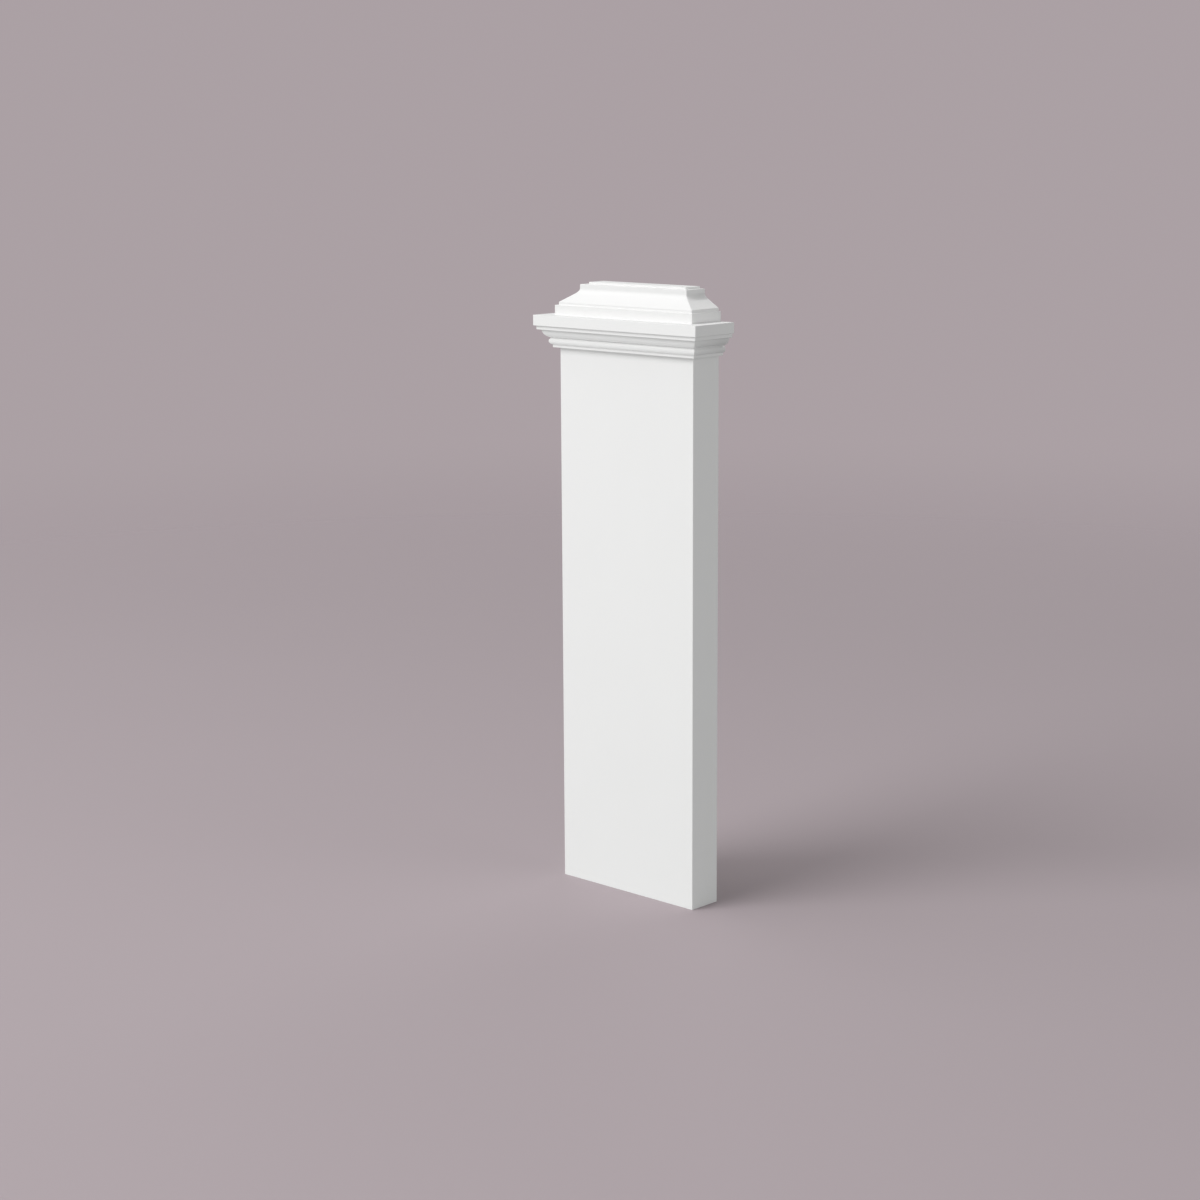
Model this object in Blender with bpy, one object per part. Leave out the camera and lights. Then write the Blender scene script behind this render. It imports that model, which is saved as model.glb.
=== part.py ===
"""Pedestal base for a pilaster, cast in one piece and primed white.

The moulded front faces -Y and the flat back, which is glued to the wall, faces +Y.
The origin is at floor level, in the middle of the bounding box. Lengths are in metres.

A plain block, the die, carries a cap. From below, the cap is a lower fillet, a torus,
an ovolo, an upper fillet and the corona. A plinth block, a sloped weathering and a seat
for the pilaster's shaft stand on it. The mouldings return round both sides, with a mitre
at each front corner, and are cut off flat at the wall.
"""

import math

import bmesh
import bpy

# Die, the plain block that stands on the floor
DIE_WIDTH = 0.250
DIE_DEPTH = 0.0525
DIE_HEIGHT = 0.778

# Cap mouldings, from below. Each overhang is measured from the face of the member under it.
LOWER_FILLET_HEIGHT = 0.0039
LOWER_FILLET_OVERHANG = 0.0076
TORUS_HEIGHT = 0.0101
TORUS_OVERHANG = 0.0042
OVOLO_HEIGHT = 0.0114
OVOLO_OVERHANG = 0.0069
UPPER_FILLET_HEIGHT = 0.0056
UPPER_FILLET_OVERHANG = 0.0052
CORONA_HEIGHT = 0.0150
CORONA_OVERHANG = 0.0032

# Depth of the groove between the torus and the ovolo, behind the face of the torus
QUIRK_DEPTH = 0.0024

# Plinth block on the corona, with a narrow ledge round its top. It projects from the faces of the die.
PLINTH_HEIGHT = 0.0139
PLINTH_SIDE_PROJECTION = 0.0035
PLINTH_FRONT_PROJECTION = 0.0070
PLINTH_LEDGE = 0.0040
NECK_HEIGHT = 0.0041

# Weathering, a straight slope that ends in a small cove, longer at the sides than at the front
SLOPE_HEIGHT = 0.0154
SLOPE_SIDE_RUN = 0.0248
SLOPE_FRONT_RUN = 0.0175
COVE_RISE = 0.0040

# Seat for the shaft, with a shallow raised pad inside its edge
SEAT_HEIGHT = 0.0096
PAD_HEIGHT = 0.0030
PAD_MARGIN = 0.0090

# Faces of the cap's members, measured from the faces of the die
LOWER_FILLET_FACE = LOWER_FILLET_OVERHANG
TORUS_FACE = LOWER_FILLET_FACE + TORUS_OVERHANG
OVOLO_FACE = TORUS_FACE + OVOLO_OVERHANG
UPPER_FILLET_FACE = OVOLO_FACE + UPPER_FILLET_OVERHANG
CORONA_FACE = UPPER_FILLET_FACE + CORONA_OVERHANG

# Points along each curved moulding
TORUS_STEPS = 20
OVOLO_STEPS = 12
COVE_STEPS = 6

# Sharp edges stay crisp, and the facets of the round mouldings are shaded smooth.
SMOOTH_BELOW = math.radians(25.0)


class Profile:
    """Levels of the pedestal from the floor up, as side projection, front projection and height."""

    def __init__(self):
        self.levels = []
        self.height = 0.0

    def add(self, side, front, above=0.0):
        """One level, at a height above the foot of the present moulding."""
        self.levels.append((side, front, self.height + above))

    def upright(self, side, front, rise):
        """A flat vertical face, such as a fillet."""
        self.add(side, front)
        self.height += rise
        self.add(side, front)


def add_torus(profile):
    """A half round that stops on its upper side where the quirk under the ovolo cuts in."""
    radius = TORUS_HEIGHT / 2
    centre = TORUS_FACE - radius
    start = -math.pi / 2
    end = math.acos(1 - QUIRK_DEPTH / radius)
    for step in range(TORUS_STEPS + 1):
        angle = start + (end - start) * step / TORUS_STEPS
        out = centre + radius * math.cos(angle)
        profile.add(out, out, radius + radius * math.sin(angle))
    profile.height += TORUS_HEIGHT


def add_ovolo(profile):
    """A convex arc from the quirk up to a vertical end under the upper fillet."""
    run = OVOLO_OVERHANG + QUIRK_DEPTH
    radius = (run**2 + OVOLO_HEIGHT**2) / (2 * run)
    start = math.atan2(-OVOLO_HEIGHT, radius - run)
    for step in range(OVOLO_STEPS + 1):
        angle = start * (1 - step / OVOLO_STEPS)
        out = OVOLO_FACE - radius + radius * math.cos(angle)
        profile.add(out, out, OVOLO_HEIGHT + radius * math.sin(angle))
    profile.height += OVOLO_HEIGHT


def add_weathering(profile, side, front):
    """The slope and the cove above it, which leaves the slope and meets the seat without a crease."""
    straight = SLOPE_HEIGHT - COVE_RISE
    profile.add(side, front)
    for step in range(COVE_STEPS + 1):
        t = step / COVE_STEPS
        # Quadratic curve from the slope, by way of the corner it rounds, to the seat's face
        share = (1 - t) ** 2 * straight / SLOPE_HEIGHT + 2 * t * (1 - t) + t**2
        above = straight + 2 * t * COVE_RISE
        profile.add(side - share * SLOPE_SIDE_RUN, front - share * SLOPE_FRONT_RUN, above)
    profile.height += SLOPE_HEIGHT


def pedestal_levels():
    """All the levels, from the foot of the die to the top of the pad."""
    profile = Profile()
    profile.upright(0.0, 0.0, DIE_HEIGHT)
    profile.upright(LOWER_FILLET_FACE, LOWER_FILLET_FACE, LOWER_FILLET_HEIGHT)
    add_torus(profile)
    add_ovolo(profile)
    profile.upright(UPPER_FILLET_FACE, UPPER_FILLET_FACE, UPPER_FILLET_HEIGHT)
    profile.upright(CORONA_FACE, CORONA_FACE, CORONA_HEIGHT)
    profile.upright(PLINTH_SIDE_PROJECTION, PLINTH_FRONT_PROJECTION, PLINTH_HEIGHT)

    neck_side = PLINTH_SIDE_PROJECTION - PLINTH_LEDGE
    neck_front = PLINTH_FRONT_PROJECTION - PLINTH_LEDGE
    profile.add(neck_side, neck_front)
    profile.height += NECK_HEIGHT
    add_weathering(profile, neck_side, neck_front)

    seat_side = neck_side - SLOPE_SIDE_RUN
    seat_front = neck_front - SLOPE_FRONT_RUN
    profile.height += SEAT_HEIGHT
    profile.add(seat_side, seat_front)
    profile.upright(seat_side - PAD_MARGIN, seat_front - PAD_MARGIN, PAD_HEIGHT)
    return profile.levels


def pedestal_mesh(levels):
    """Closed mesh through the levels: two mitred sides and a front, a flat back, a foot and a top."""
    back = (DIE_DEPTH + CORONA_FACE) / 2
    die_front = back - DIE_DEPTH
    work = bmesh.new()
    rings = []
    for side, front, height in levels:
        half = DIE_WIDTH / 2 + side
        corners = [(-half, back), (-half, die_front - front), (half, die_front - front), (half, back)]
        rings.append([work.verts.new((x, y, height)) for x, y in corners])
    for lower, upper in zip(rings, rings[1:]):
        for left in range(3):
            right = left + 1
            work.faces.new((lower[left], lower[right], upper[right], upper[left]))
    work.faces.new(reversed(rings[0]))
    work.faces.new(rings[-1])
    left_edge = [ring[0] for ring in rings]
    right_edge = [ring[-1] for ring in rings]
    work.faces.new(left_edge + right_edge[::-1])
    bmesh.ops.recalc_face_normals(work, faces=work.faces)
    mesh = bpy.data.meshes.new("pilaster_base")
    work.to_mesh(mesh)
    work.free()
    mesh.shade_smooth()
    mesh.set_sharp_from_angle(angle=SMOOTH_BELOW)
    return mesh


def primer_white():
    """Factory primer, matt and very slightly warm."""
    material = bpy.data.materials.new("primer_white")
    material.use_nodes = True
    shader = material.node_tree.nodes["Principled BSDF"]
    shader.inputs["Base Color"].default_value = (0.86, 0.86, 0.85, 1.0)
    shader.inputs["Roughness"].default_value = 0.55
    shader.inputs["Metallic"].default_value = 0.0
    return material


def main():
    for leftover in list(bpy.data.objects):
        bpy.data.objects.remove(leftover, do_unlink=True)
    mesh = pedestal_mesh(pedestal_levels())
    mesh.materials.append(primer_white())
    base = bpy.data.objects.new("pilaster_base", mesh)
    bpy.context.scene.collection.objects.link(base)


main()
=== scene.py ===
"""Looks of a pilaster's pedestal base, a foam casting with a white factory primer.

The casting follows one rule, a section carried round three sides, so a node tree sweeps it.
The section has the part's own sizes, with its curves drawn finer and its corners slightly
softened, as primer leaves them. Lengths are in metres.
"""

import math

import bmesh
import bpy
from mathutils import Matrix, Vector


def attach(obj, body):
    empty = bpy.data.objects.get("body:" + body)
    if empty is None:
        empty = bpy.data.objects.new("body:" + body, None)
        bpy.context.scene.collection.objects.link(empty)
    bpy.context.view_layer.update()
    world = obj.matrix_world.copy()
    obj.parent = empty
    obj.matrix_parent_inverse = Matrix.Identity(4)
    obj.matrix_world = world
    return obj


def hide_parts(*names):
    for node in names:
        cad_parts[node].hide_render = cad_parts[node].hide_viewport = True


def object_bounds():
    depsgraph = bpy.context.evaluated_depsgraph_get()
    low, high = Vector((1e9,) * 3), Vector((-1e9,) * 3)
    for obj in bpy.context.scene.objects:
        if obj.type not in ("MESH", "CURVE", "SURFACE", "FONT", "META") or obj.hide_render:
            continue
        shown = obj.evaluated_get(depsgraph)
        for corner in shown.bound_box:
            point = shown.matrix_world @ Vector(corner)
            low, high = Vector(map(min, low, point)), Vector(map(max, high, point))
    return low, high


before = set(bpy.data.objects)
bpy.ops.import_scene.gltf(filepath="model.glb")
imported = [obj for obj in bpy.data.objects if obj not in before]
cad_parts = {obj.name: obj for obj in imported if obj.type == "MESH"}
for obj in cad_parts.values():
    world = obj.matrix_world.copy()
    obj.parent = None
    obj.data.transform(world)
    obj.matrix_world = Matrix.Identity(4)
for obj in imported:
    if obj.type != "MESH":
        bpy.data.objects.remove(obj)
cad_lowest, cad_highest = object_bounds()

# Mouldings of the cap, from below. Each overhang is measured from the face of the member under it.
LOWER_FILLET_HEIGHT = 0.0039
LOWER_FILLET_FACE = 0.0076
TORUS_HEIGHT = 0.0101
TORUS_FACE = LOWER_FILLET_FACE + 0.0042
QUIRK_DEPTH = 0.0024
OVOLO_HEIGHT = 0.0114
OVOLO_FACE = TORUS_FACE + 0.0069
UPPER_FILLET_HEIGHT = 0.0056
UPPER_FILLET_FACE = OVOLO_FACE + 0.0052
CORONA_HEIGHT = 0.0150
CORONA_FACE = UPPER_FILLET_FACE + 0.0032

# Plinth block, weathering and seat above the corona
PLINTH_HEIGHT = 0.0139
PLINTH_SIDE = 0.0035
PLINTH_FRONT = 0.0070
PLINTH_LEDGE = 0.0040
NECK_HEIGHT = 0.0041
SLOPE_HEIGHT = 0.0154
SLOPE_SIDE_RUN = 0.0248
SLOPE_FRONT_RUN = 0.0175
COVE_RISE = 0.0040
SEAT_HEIGHT = 0.0096
PAD_HEIGHT = 0.0030
PAD_MARGIN = 0.0090

# The die, from the part's own box
CAP_HEIGHT = LOWER_FILLET_HEIGHT + TORUS_HEIGHT + OVOLO_HEIGHT + UPPER_FILLET_HEIGHT + CORONA_HEIGHT
TOP_HEIGHT = PLINTH_HEIGHT + NECK_HEIGHT + SLOPE_HEIGHT + SEAT_HEIGHT + PAD_HEIGHT
DIE_HEIGHT = cad_highest.z - CAP_HEIGHT - TOP_HEIGHT
DIE_HALF_WIDTH = cad_highest.x - CORONA_FACE
DIE_FRONT = cad_lowest.y + CORONA_FACE
BACK = cad_highest.y

# Softening of the casting's corners by its primer
ARRIS_CUT = 0.0005
HOLLOW_CUT = 0.0003
MITRE_RADIUS = 0.0008
CUT_STEPS = 4
MITRE_STEPS = 6

# Largest share of a stretch that the cut of one corner takes
CUT_SHARE = 0.4

# Heights closer than the first of these are one height, and points closer than the second are one point
SAME_HEIGHT = 1e-9
SAME_PLACE = 1e-6

# Steps along each curved moulding
TORUS_STEPS = 32
OVOLO_STEPS = 24
COVE_STEPS = 12

# What a stretch of the section is
FLAT, CURVE, ARRIS, HOLLOW = range(4)


class Section:
    """Outline of the casting from the foot to the top, as (side, front, height) from the die's faces."""

    def __init__(self):
        self.points = []
        self.kinds = []
        self.height = 0.0

    def add(self, side, front, above=0.0, kind=FLAT):
        """A point above the foot of the present moulding, reached by a stretch of that kind."""
        if self.points:
            self.kinds.append(kind)
        self.points.append(Vector((side, front, self.height + above)))

    def upright(self, side, front, rise):
        """A flat vertical face, such as a fillet."""
        self.add(side, front)
        self.height += rise
        self.add(side, front)

    def softened(self):
        """The same outline with each corner between two flat or two unlike stretches rounded off."""
        points = [self.points[0]]
        kinds = []
        for index in range(1, len(self.points) - 1):
            before, here, after = self.points[index - 1 : index + 2]
            into, out_of = self.kinds[index - 1], self.kinds[index]
            if into == CURVE and out_of == CURVE:
                points.append(here)
                kinds.append(CURVE)
                continue
            hollow = turn_at(before, here, after) > 0
            room = CUT_SHARE * min(section_length(before, here), section_length(here, after))
            cut = min(HOLLOW_CUT if hollow else ARRIS_CUT, room)
            start, end = toward(here, before, cut), toward(here, after, cut)
            points.append(start)
            kinds.append(into)
            for step in range(1, CUT_STEPS + 1):
                t = step / CUT_STEPS
                points.append((1 - t) ** 2 * start + 2 * t * (1 - t) * here + t**2 * end)
                kinds.append(HOLLOW if hollow else ARRIS)
        points.append(self.points[-1])
        kinds.append(self.kinds[-1])
        return points, kinds


def section_length(one, other):
    """Distance of two points of the section, as the front's profile shows it."""
    return math.hypot(one.y - other.y, one.z - other.z)


def turn_at(before, here, after):
    """Above zero where the front's profile turns outwards on its way up, into a hollow corner."""
    first, second = here - before, after - here
    return first.z * second.y - first.y * second.z


def toward(corner, other, cut):
    """The point at that distance from a corner. On a level stretch the side and the front move alike."""
    step = other - corner
    if abs(step.z) < SAME_HEIGHT:
        return corner + Vector((math.copysign(cut, step.x), math.copysign(cut, step.y), 0.0))
    return corner + step * (cut / math.hypot(step.y, step.z))


def add_torus(section):
    """A half round, from where it leaves the lower fillet's face to the quirk under the ovolo."""
    radius = TORUS_HEIGHT / 2
    centre = TORUS_FACE - radius
    start = -math.acos((LOWER_FILLET_FACE - centre) / radius)
    end = math.acos(1 - QUIRK_DEPTH / radius)
    for step in range(TORUS_STEPS + 1):
        angle = start + (end - start) * step / TORUS_STEPS
        out = centre + radius * math.cos(angle)
        section.add(out, out, radius + radius * math.sin(angle), CURVE if step else FLAT)
    section.height += TORUS_HEIGHT


def add_ovolo(section):
    """A convex arc from the quirk up to a vertical end under the upper fillet."""
    run = OVOLO_FACE - TORUS_FACE + QUIRK_DEPTH
    radius = (run**2 + OVOLO_HEIGHT**2) / (2 * run)
    start = math.atan2(-OVOLO_HEIGHT, radius - run)
    for step in range(OVOLO_STEPS + 1):
        angle = start * (1 - step / OVOLO_STEPS)
        out = OVOLO_FACE - radius + radius * math.cos(angle)
        section.add(out, out, OVOLO_HEIGHT + radius * math.sin(angle), CURVE if step else FLAT)
    section.height += OVOLO_HEIGHT


def add_weathering(section, side, front):
    """The slope, longer at the sides than at the front, and the cove that brings it up to the seat."""
    straight = SLOPE_HEIGHT - COVE_RISE
    section.add(side, front)
    for step in range(COVE_STEPS + 1):
        t = step / COVE_STEPS
        share = (1 - t) ** 2 * straight / SLOPE_HEIGHT + 2 * t * (1 - t) + t**2
        above = straight + 2 * t * COVE_RISE
        kind = CURVE if step else FLAT
        section.add(side - share * SLOPE_SIDE_RUN, front - share * SLOPE_FRONT_RUN, above, kind)
    section.height += SLOPE_HEIGHT


def pedestal_section():
    """All the casting's mouldings. The first and last stretches lie level, in the foot and in the top."""
    inner = 2 * ARRIS_CUT
    section = Section()
    section.add(-inner, -inner)
    section.upright(0.0, 0.0, DIE_HEIGHT)
    section.add(LOWER_FILLET_FACE, LOWER_FILLET_FACE)
    section.height += LOWER_FILLET_HEIGHT
    add_torus(section)
    add_ovolo(section)
    section.upright(UPPER_FILLET_FACE, UPPER_FILLET_FACE, UPPER_FILLET_HEIGHT)
    section.upright(CORONA_FACE, CORONA_FACE, CORONA_HEIGHT)
    section.upright(PLINTH_SIDE, PLINTH_FRONT, PLINTH_HEIGHT)
    neck_side, neck_front = PLINTH_SIDE - PLINTH_LEDGE, PLINTH_FRONT - PLINTH_LEDGE
    section.add(neck_side, neck_front)
    section.height += NECK_HEIGHT
    add_weathering(section, neck_side, neck_front)
    seat_side, seat_front = neck_side - SLOPE_SIDE_RUN, neck_front - SLOPE_FRONT_RUN
    section.height += SEAT_HEIGHT
    section.add(seat_side, seat_front)
    pad_side, pad_front = seat_side - PAD_MARGIN, seat_front - PAD_MARGIN
    section.upright(pad_side, pad_front, PAD_HEIGHT)
    section.add(pad_side - inner, pad_front - inner)
    return section.softened()


class Nodes:
    """Places nodes in a tree, row by row, and links them."""

    ROW = 8
    SPACING = (190, -260)

    def __init__(self, tree):
        self.tree = tree

    def add(self, kind, inputs=None, **settings):
        """A node with these settings. An input is a value, or the output that feeds it."""
        node = self.tree.nodes.new(kind)
        row, column = divmod(len(self.tree.nodes) - 1, self.ROW)
        node.location = (column * self.SPACING[0], row * self.SPACING[1])
        for name, value in settings.items():
            setattr(node, name, value)
        for name, value in (inputs or {}).items():
            if isinstance(value, bpy.types.NodeSocket):
                self.tree.links.new(value, node.inputs[name])
            else:
                node.inputs[name].default_value = value
        return node

    def value(self, operation, first, second=0.0, clamp=False):
        """Output of a sum on one or two numbers."""
        node = self.add("ShaderNodeMath", {0: first, 1: second}, operation=operation)
        node.use_clamp = clamp
        return node.outputs[0]

    def whole(self, operation, first, second):
        """Output of a sum on two whole numbers."""
        return self.add("FunctionNodeIntegerMath", {0: first, 1: second}, operation=operation).outputs[0]

    def blend(self, factor, first, second):
        """Output of a mix of two colours."""
        return self.add("ShaderNodeMix", {0: factor, 6: first, 7: second}, data_type="RGBA").outputs[2]

    def measures(self, place):
        """Outputs of a place's three measures: across, deep and up."""
        return self.add("ShaderNodeSeparateXYZ", {0: place}).outputs

    def at(self, across=0.0, deep=0.0, up=0.0):
        """Output of the place with these measures."""
        return self.add("ShaderNodeCombineXYZ", {0: across, 1: deep, 2: up}).outputs[0]

    def sample(self, geometry, index, value, kind, domain):
        """Output of a value read from another piece of geometry, at an index."""
        source = {"Geometry": geometry, "Index": index}
        node = self.add("GeometryNodeSampleIndex", source, data_type=kind, domain=domain)
        self.tree.links.new(value, node.inputs["Value"])
        return node.outputs["Value"]

    def stored(self, name, kind):
        """Output of the value that the geometry carries under that name."""
        return self.add("GeometryNodeInputNamedAttribute", {"Name": name}, data_type=kind).outputs[0]

    def marked(self, geometry, name, mask):
        """Output of the geometry with a mask on its faces."""
        store = {"Geometry": geometry, "Name": name, "Value": mask}
        kind = {"data_type": "FLOAT", "domain": "FACE"}
        return self.add("GeometryNodeStoreNamedAttribute", store, **kind).outputs[0]

    def shaded(self, geometry, smooth):
        """Output of the geometry with some of its faces shaded smooth."""
        shade = {"Geometry": geometry, "Shade Smooth": smooth}
        return self.add("GeometryNodeSetShadeSmooth", shade, domain="FACE").outputs[0]

    def placed(self, geometry, **place):
        """Output of the geometry with its points set to a Position or moved by an Offset."""
        return self.add("GeometryNodeSetPosition", {"Geometry": geometry, **place}).outputs[0]

    def merged(self, geometry):
        """Output of the geometry with points that share a place made one."""
        close = {"Geometry": geometry, "Distance": SAME_PLACE}
        return self.add("GeometryNodeMergeByDistance", close).outputs[0]

    def joined(self, *parts):
        """Output of several pieces of geometry made one."""
        node = self.add("GeometryNodeJoinGeometry")
        for part in reversed(parts):
            self.tree.links.new(part, node.inputs[0])
        return node.outputs[0]

    def loop(self, mesh, edges):
        """Output of the chosen edges of a mesh as a closed curve."""
        return self.add("GeometryNodeMeshToCurve", {"Mesh": mesh, "Selection": edges}).outputs[0]

    def filled(self, outline):
        """Output of flat faces inside a closed curve, at level zero and facing up."""
        return self.add("GeometryNodeFillCurve", {0: outline}).outputs[0]


def sockets(tree, inputs, outputs):
    """Gives a group its named inputs and outputs. An input is (name, kind, value or None)."""
    for name, kind, value in inputs:
        socket = tree.interface.new_socket(name, in_out="INPUT", socket_type="NodeSocket" + kind)
        if value is not None:
            socket.default_value = value
    for name, kind in outputs:
        tree.interface.new_socket(name, in_out="OUTPUT", socket_type="NodeSocket" + kind)


def swept_shell(nodes, given, levels, last_station):
    """Faces through the section at every station round the plan, of which the last lies on the first."""
    section, steps, radius = given["Section"], given["Mitre Steps"], given["Mitre Radius"]
    size = {"Vertices X": nodes.whole("ADD", last_station, 2), "Vertices Y": levels}
    grid = nodes.add("GeometryNodeMeshGrid", size).outputs["Mesh"]

    # Each point of the grid is one level of the section at one station
    index = nodes.add("GeometryNodeInputIndex").outputs[0]
    level = nodes.whole("MODULO", index, levels)
    around = nodes.whole("DIVIDE_FLOOR", index, levels)
    station = nodes.whole("MODULO", around, nodes.whole("ADD", last_station, 1))
    from_back = nodes.whole("MINIMUM", station, nodes.whole("SUBTRACT", last_station, station))
    at_back = nodes.value("LESS_THAN", from_back, 0.5)

    # At the back the level stretches of the foot and the top would lie in one line, so they are left out
    highest = nodes.whole("SUBTRACT", nodes.whole("SUBTRACT", levels, 1), at_back)
    taken = nodes.whole("MINIMUM", nodes.whole("MAXIMUM", level, at_back), highest)
    place = nodes.add("GeometryNodeInputPosition").outputs[0]
    side, front, height = nodes.measures(nodes.sample(section, taken, place, "FLOAT_VECTOR", "POINT"))

    # A mitre's arc takes a quarter turn, from the side to the front
    hand = nodes.value("SIGN", nodes.value("SUBTRACT", nodes.value("SUBTRACT", station, steps), 1.5))
    turned = nodes.value("DIVIDE", nodes.value("SUBTRACT", from_back, 1.0), steps, clamp=True)
    angle = nodes.value("MULTIPLY", turned, math.pi / 2)

    # Across: half the width and the side projection, less what the mitre's arc takes
    half = nodes.value("ADD", given["Half Width"], side)
    short = nodes.value("MULTIPLY", radius, nodes.value("SUBTRACT", 1.0, nodes.value("COSINE", angle)))
    across = nodes.value("MULTIPLY", hand, nodes.value("SUBTRACT", half, short))

    # Deep: the front's face and its arc, or the back
    face = nodes.value("SUBTRACT", given["Front"], front)
    drawn_in = nodes.value("MULTIPLY", radius, nodes.value("SUBTRACT", 1.0, nodes.value("SINE", angle)))
    choice = {0: at_back, 2: nodes.value("ADD", face, drawn_in), 3: given["Back"]}
    deep = nodes.add("ShaderNodeMix", choice).outputs[0]
    return nodes.placed(grid, Position=nodes.at(across, deep, height))


def marked_shell(nodes, given, shell, levels, last_station):
    """The shell with its round faces shaded smooth, and with its arrises, hollows and back marked."""
    # Each face of the grid lies between two levels and two stations
    index = nodes.add("GeometryNodeInputIndex").outputs[0]
    rows = nodes.whole("SUBTRACT", levels, 1)
    row = nodes.whole("MODULO", index, rows)
    column = nodes.whole("DIVIDE_FLOOR", index, rows)
    kind = nodes.sample(given["Section"], row, nodes.stored("kind", "INT"), "INT", "EDGE")

    # Columns in from the back: below zero on the back itself, zero on a side, then the mitre and the front
    last_side = nodes.whole("SUBTRACT", last_station, 1)
    inward = nodes.whole("MINIMUM", column, nodes.whole("SUBTRACT", last_side, column))
    past_side = nodes.value("GREATER_THAN", inward, 0.5)
    before_front = nodes.value("LESS_THAN", inward, nodes.value("ADD", given["Mitre Steps"], 0.5))
    on_mitre = nodes.value("MULTIPLY", past_side, before_front)
    on_back = nodes.value("LESS_THAN", inward, -0.5)
    cast = nodes.value("SUBTRACT", 1.0, on_back)
    curved = nodes.value("MULTIPLY", nodes.value("GREATER_THAN", kind, FLAT + 0.5), cast)
    at_arris = nodes.value("COMPARE", kind, ARRIS)
    at_hollow = nodes.value("COMPARE", kind, HOLLOW)
    masks = {
        "arris": nodes.value("MULTIPLY", nodes.value("MAXIMUM", at_arris, on_mitre), cast),
        "hollow": nodes.value("MULTIPLY", at_hollow, cast),
        "planed": on_back,
    }
    shell = nodes.shaded(shell, nodes.value("MAXIMUM", curved, on_mitre))
    for name, mask in masks.items():
        shell = nodes.marked(shell, name, mask)
    return shell


def closed_casting(nodes, given, ring):
    """The ring with flat faces for its foot, its top and its back. The foot and the back are planed."""
    place = nodes.add("GeometryNodeInputPosition").outputs[0]
    across, deep, up = nodes.measures(place)
    beside = nodes.add("GeometryNodeInputMeshEdgeNeighbors").outputs[0]
    open_edge = nodes.value("LESS_THAN", beside, 1.5)
    highest = nodes.add("GeometryNodeBoundBox", {0: given["Section"]}).outputs["Max"]
    top_level = nodes.measures(highest)[2]
    raised = nodes.value("GREATER_THAN", up, nodes.value("MULTIPLY", top_level, 0.5))
    lowered = nodes.value("SUBTRACT", 1.0, raised)

    # The foot lies at level zero already, and the top is lifted to its own level
    foot = nodes.filled(nodes.loop(ring, nodes.value("MULTIPLY", open_edge, lowered)))
    top = nodes.filled(nodes.loop(ring, nodes.value("MULTIPLY", open_edge, raised)))
    top = nodes.placed(top, Offset=nodes.at(up=top_level))

    # The back's outline is laid level, with its heights as depths, and stood up again once it is filled
    split = {"Geometry": ring, "Selection": nodes.stored("planed", "FLOAT")}
    back_column, cast_walls = nodes.add("GeometryNodeSeparateGeometry", split, domain="FACE").outputs
    outline = nodes.placed(nodes.loop(back_column, open_edge), Position=nodes.at(across, up))
    back = nodes.placed(nodes.filled(outline), Position=nodes.at(across, given["Back"], deep))

    # The foot and the back are turned to face outwards
    planed = nodes.add("GeometryNodeFlipFaces", {"Mesh": nodes.joined(foot, back)}).outputs[0]
    flat = nodes.shaded(nodes.joined(top, nodes.marked(planed, "planed", 1.0)), False)
    return nodes.merged(nodes.joined(flat, cast_walls))


def sweep_tree():
    """Carries a section round the left side, the front and the right side, and closes the rest."""
    tree = bpy.data.node_groups.new("swept_moulding", "GeometryNodeTree")
    sockets(
        tree,
        [
            ("Section", "Geometry", None),
            ("Half Width", "Float", 0.1),
            ("Front", "Float", 0.0),
            ("Back", "Float", 0.1),
            ("Mitre Radius", "Float", 0.001),
            ("Mitre Steps", "Int", 4),
            ("Cast Finish", "Material", None),
            ("Planed Finish", "Material", None),
        ],
        [("Casting", "Geometry")],
    )
    nodes = Nodes(tree)
    given = nodes.add("NodeGroupInput").outputs

    # Stations are counted from the back left corner, by way of both mitres' arcs, to the back right corner
    last_station = nodes.whole("ADD", nodes.whole("MULTIPLY", given["Mitre Steps"], 2), 3)
    levels = nodes.add("GeometryNodeAttributeDomainSize", {0: given["Section"]}).outputs["Point Count"]
    shell = swept_shell(nodes, given, levels, last_station)
    shell = marked_shell(nodes, given, shell, levels, last_station)
    closed = closed_casting(nodes, given, nodes.merged(shell))

    # Primer all over, bare foam where it was planed
    real = nodes.add("GeometryNodeRealizeInstances", {"Geometry": closed}).outputs[0]
    primed = {"Geometry": real, "Material": given["Cast Finish"]}
    real = nodes.add("GeometryNodeSetMaterial", primed).outputs[0]
    planed = nodes.stored("planed", "FLOAT")
    bare = {"Geometry": real, "Selection": planed, "Material": given["Planed Finish"]}
    real = nodes.add("GeometryNodeSetMaterial", bare).outputs[0]
    nodes.add("NodeGroupOutput", {"Casting": real})
    return tree


def section_mesh():
    """The section as a chain of points, with what each stretch is."""
    points, kinds = pedestal_section()
    mesh = bpy.data.meshes.new("pedestal_section")
    mesh.from_pydata(points, [(index, index + 1) for index in range(len(kinds))], [])
    mesh.attributes.new("kind", "INT", "EDGE").data.foreach_set("value", kinds)
    return mesh


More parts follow.
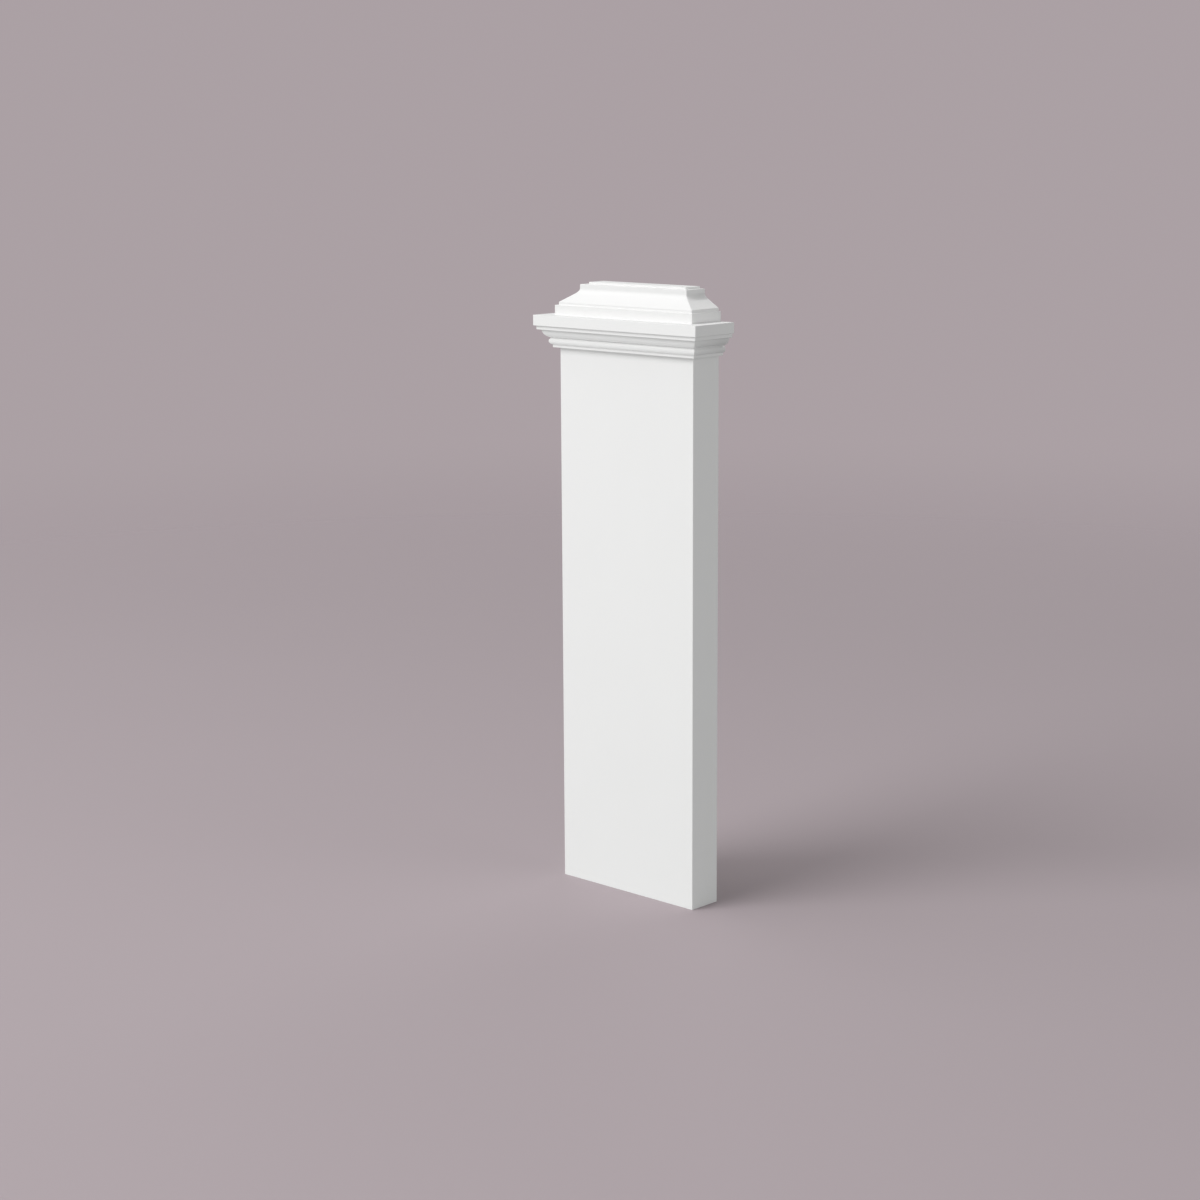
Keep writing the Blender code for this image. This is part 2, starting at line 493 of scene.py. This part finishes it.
def make_casting(cast_finish, planed_finish):
    """The whole pedestal, swept by the node tree and kept as a plain mesh."""
    casting = bpy.data.objects.new("moulded_pedestal", section_mesh())
    bpy.context.scene.collection.objects.link(casting)
    tree = sweep_tree()
    modifier = casting.modifiers.new("swept_moulding", "NODES")
    modifier.node_group = tree
    values = {
        "Half Width": DIE_HALF_WIDTH,
        "Front": DIE_FRONT,
        "Back": BACK,
        "Mitre Radius": MITRE_RADIUS,
        "Mitre Steps": MITRE_STEPS,
        "Cast Finish": cast_finish,
        "Planed Finish": planed_finish,
    }
    for item in tree.interface.items_tree:
        if item.name in values:
            modifier[item.identifier] = values[item.name]
    graph = bpy.context.evaluated_depsgraph_get()
    swept = casting.evaluated_get(graph)
    mesh = bpy.data.meshes.new_from_object(swept, preserve_all_data_layers=True, depsgraph=graph)
    casting.modifiers.remove(modifier)
    casting.data = mesh
    mesh.name = casting.name
    while None in mesh.materials[:]:
        mesh.materials.pop(index=mesh.materials[:].index(None))
    return casting


def clouding_group():
    """Slow drift of a colour's lightness over a surface."""
    tree = bpy.data.node_groups.new("clouding", "ShaderNodeTree")
    sockets(
        tree,
        [
            ("Place", "Vector", None),
            ("Colour", "Color", None),
            ("Patch", "Float", 0.1),
            ("Amount", "Float", 0.02),
        ],
        [("Colour", "Color")],
    )
    nodes = Nodes(tree)
    given = nodes.add("NodeGroupInput").outputs
    scale = nodes.value("DIVIDE", 1.0, given["Patch"])
    texture = {"Vector": given["Place"], "Scale": scale, "Detail": 3.0}
    cloud = nodes.add("ShaderNodeTexNoise", texture).outputs[0]
    swing = nodes.value("MULTIPLY", nodes.value("SUBTRACT", cloud, 0.5), given["Amount"])
    light = nodes.value("ADD", nodes.value("MULTIPLY", swing, 2.0), 1.0)
    tinted = nodes.add("ShaderNodeHueSaturation", {"Value": light, "Color": given["Colour"]}).outputs[0]
    nodes.add("NodeGroupOutput", {"Colour": tinted})
    return tree


def skin_group():
    """Fine relief of a sprayed or planed surface: soft waves with a finer grain on them, from 0 to 1."""
    tree = bpy.data.node_groups.new("skin", "ShaderNodeTree")
    sockets(
        tree,
        [
            ("Place", "Vector", None),
            ("Wave", "Float", 0.002),
            ("Grain", "Float", 0.0004),
            ("Grain Share", "Float", 0.3),
        ],
        [("Height", "Float")],
    )
    nodes = Nodes(tree)
    given = nodes.add("NodeGroupInput").outputs
    reliefs = []
    for name in ("Wave", "Grain"):
        scale = nodes.value("DIVIDE", 1.0, given[name])
        texture = {"Vector": given["Place"], "Scale": scale, "Detail": 1.0, "Roughness": 0.4}
        reliefs.append(nodes.add("ShaderNodeTexNoise", texture).outputs[0])
    mixed = {0: given["Grain Share"], 2: reliefs[0], 3: reliefs[1]}
    height = nodes.add("ShaderNodeMix", mixed).outputs[0]
    nodes.add("NodeGroupOutput", {"Height": height})
    return tree


def pits_group():
    """Scattered round pits of one size. Coverage is the share of the cells that hold one."""
    tree = bpy.data.node_groups.new("pits", "ShaderNodeTree")
    sockets(
        tree,
        [
            ("Place", "Vector", None),
            ("Spacing", "Float", 0.004),
            ("Width", "Float", 0.0005),
            ("Coverage", "Float", 0.1),
        ],
        [("Pit", "Float")],
    )
    nodes = Nodes(tree)
    given = nodes.add("NodeGroupInput").outputs
    scale = nodes.value("DIVIDE", 1.0, given["Spacing"])
    cells = nodes.add("ShaderNodeTexVoronoi", {"Vector": given["Place"], "Scale": scale})
    chance = nodes.add("ShaderNodeSeparateColor", {0: cells.outputs["Color"]}).outputs[0]
    held = nodes.value("LESS_THAN", chance, given["Coverage"])
    reach = nodes.value("DIVIDE", nodes.value("MULTIPLY", given["Width"], 0.5), given["Spacing"])
    away = nodes.value("DIVIDE", cells.outputs["Distance"], reach)
    depth = nodes.value("SUBTRACT", 1.0, away, clamp=True)
    nodes.add("NodeGroupOutput", {"Pit": nodes.value("MULTIPLY", depth, held)})
    return tree


EFFECTS = {"clouding": clouding_group(), "skin": skin_group(), "pits": pits_group()}


# Tones of the primer: all over, a painted highlight on the arrises, painted shade in the hollows, and
# painted shade in a pinhole
PRIMER = (0.86, 0.86, 0.855)
ARRIS_HIGHLIGHT = (0.88, 0.88, 0.87)
HOLLOW_SHADE = (0.84, 0.84, 0.835)
PINHOLE_SHADE = (0.70, 0.70, 0.69)

# Tones of the planed foam: all over, painted shade inside an open cell, and along the planer's marks
FOAM = (0.83, 0.815, 0.775)
OPEN_CELL_SHADE = (0.66, 0.64, 0.58)
PLANER_MARK = (0.86, 0.85, 0.82)

# Depth of the relief
PEEL_DEPTH = 0.00002
PLANED_DEPTH = 0.0001
FLOOR_DEPTH = 0.00003


class Finish(Nodes):
    """A material with its shader, and a place for each effect in it."""

    def __init__(self, name):
        self.material = bpy.data.materials.new(name)
        self.material.use_nodes = True
        super().__init__(self.material.node_tree)
        self.shader = self.tree.nodes["Principled BSDF"]
        self.place = self.add("ShaderNodeTexCoord").outputs["Object"]

    def effect(self, name, place=None, **inputs):
        """One of the shared effects with its own values."""
        values = {key.replace("_", " ").title(): value for key, value in inputs.items()}
        values["Place"] = place or self.place
        return self.add("ShaderNodeGroup", values, node_tree=EFFECTS[name]).outputs[0]

    def mask(self, name):
        """A mask that the casting carries on its faces."""
        return self.add("ShaderNodeAttribute", attribute_name=name).outputs["Fac"]

    def toned(self, colour, mask, share, tone):
        """A colour with that share of another tone where the mask lies."""
        return self.blend(self.value("MULTIPLY", mask, share), colour, (*tone, 1.0))

    def feed(self, name, source):
        """Feeds one of the shader's inputs, or sets it."""
        if isinstance(source, bpy.types.NodeSocket):
            self.tree.links.new(source, self.shader.inputs[name])
        else:
            self.shader.inputs[name].default_value = source

    def bump(self, height, depth):
        """Feeds the shader's normal with a relief of that depth in metres."""
        relief = {"Height": height, "Distance": depth, "Strength": 1.0}
        self.feed("Normal", self.add("ShaderNodeBump", relief).outputs[0])


def primer_finish():
    """White factory primer: matt, with a faint orange peel and a little glossier on arrises; its colour
    carries a painted highlight on arrises and painted shade in hollows and pinholes.
    """
    finish = Finish("white_primer")
    arris, hollow = finish.mask("arris"), finish.mask("hollow")
    white = finish.effect("clouding", colour=(*PRIMER, 1.0), patch=0.12, amount=0.012)
    # Painted highlight: the arrises and mitre corners are lightened in colour where light would catch them
    white = finish.toned(white, arris, share=0.5, tone=ARRIS_HIGHLIGHT)
    # Painted shade: the hollow corners are darkened in colour
    white = finish.toned(white, hollow, share=0.4, tone=HOLLOW_SHADE)
    pinholes = finish.effect("pits", spacing=0.011, width=0.0007, coverage=0.05)
    # Painted shade: each pinhole is darkened in colour, besides its real dent in the relief
    white = finish.toned(white, pinholes, share=0.5, tone=PINHOLE_SHADE)
    finish.feed("Base Color", white)
    peel = finish.effect("skin", wave=0.0021, grain=0.0004, grain_share=0.25)
    sheen = finish.value("SUBTRACT", 0.60, finish.value("MULTIPLY", peel, 0.10))
    finish.feed("Roughness", finish.value("SUBTRACT", sheen, finish.value("MULTIPLY", arris, 0.06)))
    finish.feed("Specular IOR Level", 0.35)
    finish.bump(finish.value("SUBTRACT", peel, finish.value("MULTIPLY", pinholes, 0.8)), PEEL_DEPTH)
    return finish.material


def planed_finish():
    """Bare foam of the back and the foot: off-white, with fine open cells darkened by painted shade and
    the planer's long marks.
    """
    finish = Finish("planed_foam")
    stretch = {"Vector": finish.place, "Scale": (1.0, 1.0, 0.04)}
    drawn_out = finish.add("ShaderNodeMapping", stretch).outputs[0]
    marks = finish.effect("skin", place=drawn_out, wave=0.0040, grain=0.0009, grain_share=0.4)
    cells = finish.effect("pits", spacing=0.0011, width=0.0008, coverage=0.35)
    foam = finish.effect("clouding", colour=(*FOAM, 1.0), patch=0.06, amount=0.03)
    # Painted shade: open cells are darkened in colour, besides their real dent in the relief
    foam = finish.toned(foam, cells, share=0.5, tone=OPEN_CELL_SHADE)
    foam = finish.toned(foam, marks, share=0.35, tone=PLANER_MARK)
    finish.feed("Base Color", foam)
    finish.feed("Roughness", finish.value("ADD", finish.value("MULTIPLY", marks, 0.15), 0.78))
    finish.feed("Specular IOR Level", 0.2)
    finish.bump(finish.value("SUBTRACT", marks, finish.value("MULTIPLY", cells, 0.7)), PLANED_DEPTH)
    return finish.material


# Studio. The floor thins out into the background of the same tone.
FLOOR_RADIUS = 12.0
FLOOR_SEGMENTS = 96
FLOOR_CLEAR_FROM = 1.4
FLOOR_CLEAR_TO = 5.2
BACKDROP = (0.408, 0.354, 0.373)
FLOOR_SEEN = (0.425, 0.368, 0.389)
FLOOR_BOUNCE = (0.35, 0.35, 0.35)
AMBIENT = (0.347, 0.347, 0.347)

# Key light, a wide round screen in front of the cap, a little to the left and above
KEY_AIM = (0.0, 0.0, 0.82)
KEY_AZIMUTH = -20.0
KEY_ELEVATION = 35.0
KEY_DISTANCE = 8.0
KEY_DIAMETER = 5.8
KEY_POWER = 450.0

# Wide soft lights from far away: the name, the degrees to the right of the front and above the horizon,
# and the strength
FILLS = (
    ("left_fill", -60.0, 60.0, 0.61),
    ("low_fill", -60.0, -45.0, 0.94),
    ("right_fill", 100.0, 8.0, 0.47),
    ("back_light", -160.0, 28.0, 0.35),
)
FILL_SPREAD = math.radians(40.0)


def floor_finish():
    """Smooth matt floor, with a slow drift of tone and a fine tooth."""
    finish = Finish("studio_floor")
    seen = finish.add("ShaderNodeLightPath").outputs["Is Camera Ray"]
    tone = finish.blend(seen, (*FLOOR_BOUNCE, 1.0), (*FLOOR_SEEN, 1.0))
    tone = finish.effect("clouding", colour=tone, patch=0.9, amount=0.012)
    finish.feed("Base Color", tone)
    tooth = finish.effect("skin", wave=0.004, grain=0.0012, grain_share=0.4)
    finish.feed("Roughness", finish.value("ADD", finish.value("MULTIPLY", tooth, 0.1), 0.8))
    finish.feed("Specular IOR Level", 0.1)
    finish.bump(tooth, FLOOR_DEPTH)
    away = finish.add("ShaderNodeVectorMath", {0: finish.place}, operation="LENGTH").outputs["Value"]
    ramp = {"Value": away, "From Min": FLOOR_CLEAR_FROM, "From Max": FLOOR_CLEAR_TO}
    ramp.update({"To Min": 1.0, "To Max": 0.0})
    fade = finish.add("ShaderNodeMapRange", ramp, interpolation_type="SMOOTHSTEP").outputs[0]
    finish.feed("Alpha", fade)
    return finish.material


def make_floor():
    """A wide round floor under the pedestal, which lets the low fill light through from below."""
    disc = bmesh.new()
    bmesh.ops.create_circle(disc, cap_ends=True, segments=FLOOR_SEGMENTS, radius=FLOOR_RADIUS)
    mesh = bpy.data.meshes.new("studio_floor")
    disc.to_mesh(mesh)
    disc.free()
    mesh.materials.append(floor_finish())
    floor = bpy.data.objects.new("studio_floor", mesh)
    floor.visible_shadow = False
    bpy.context.scene.collection.objects.link(floor)


def make_background():
    """Even studio light all round. The camera sees the backdrop's own tone behind the floor."""
    world = bpy.data.worlds.new("studio")
    bpy.context.scene.world = world
    world.use_nodes = True
    world.node_tree.nodes.clear()
    nodes = Nodes(world.node_tree)
    seen = nodes.add("ShaderNodeLightPath").outputs["Is Camera Ray"]
    tone = nodes.blend(seen, (*AMBIENT, 1.0), (*BACKDROP, 1.0))
    light = nodes.add("ShaderNodeBackground", {"Color": tone, "Strength": 1.0}).outputs[0]
    nodes.add("ShaderNodeOutputWorld", {"Surface": light})


def way_to(azimuth, elevation):
    """Direction of a light, in degrees to the right of the front and above the horizon."""
    around, up = math.radians(azimuth), math.radians(elevation)
    level = math.cos(up)
    return Vector((math.sin(around) * level, -math.cos(around) * level, math.sin(up)))


def place_light(data, way, distance):
    """Sets a light in that direction from the cap, turned towards it."""
    light = bpy.data.objects.new(data.name, data)
    light.location = Vector(KEY_AIM) + way * distance
    light.rotation_euler = way.to_track_quat("Z", "Y").to_euler()
    bpy.context.scene.collection.objects.link(light)
    return light


def make_key():
    """The key light. It isn't seen itself."""
    data = bpy.data.lights.new("key", "AREA")
    data.shape = "DISK"
    data.size = KEY_DIAMETER
    data.energy = KEY_POWER
    key = place_light(data, way_to(KEY_AZIMUTH, KEY_ELEVATION), KEY_DISTANCE)
    key.visible_camera = False


def make_fill(name, azimuth, elevation, strength):
    """A fill light, the same at every place."""
    data = bpy.data.lights.new(name, "SUN")
    data.energy = strength
    data.angle = FILL_SPREAD
    place_light(data, way_to(azimuth, elevation), KEY_DISTANCE)


# Camera, as fitted to the straight edges in the photograph
CAMERA_PLACE = (2.28361, -2.48888, 1.09304)
CAMERA_YAW = math.radians(43.308)
CAMERA_PITCH_DOWN = math.radians(11.146)
CAMERA_ROLL = math.radians(0.322)
CAMERA_LENS = 73.05
CAMERA_REACH = 60.0
SENSOR_WIDTH = 36.0


def make_camera():
    """The photograph's point of view and framing."""
    data = bpy.data.cameras.new("photo_view")
    data.sensor_width = SENSOR_WIDTH
    data.lens = CAMERA_LENS
    data.clip_end = CAMERA_REACH
    camera = bpy.data.objects.new("photo_view", data)
    yaw = Matrix.Rotation(CAMERA_YAW, 4, "Z")
    tilt = Matrix.Rotation(math.pi / 2 - CAMERA_PITCH_DOWN, 4, "X")
    roll = Matrix.Rotation(-CAMERA_ROLL, 4, "Z")
    camera.matrix_world = Matrix.Translation(CAMERA_PLACE) @ yaw @ tilt @ roll
    bpy.context.scene.collection.objects.link(camera)
    bpy.context.scene.camera = camera


make_camera()
casting = make_casting(primer_finish(), planed_finish())
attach(casting, "root")
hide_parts("pilaster_base")

make_floor()
make_background()
make_key()
for fill in FILLS:
    make_fill(*fill)
bpy.context.scene.view_settings.view_transform = "Standard"
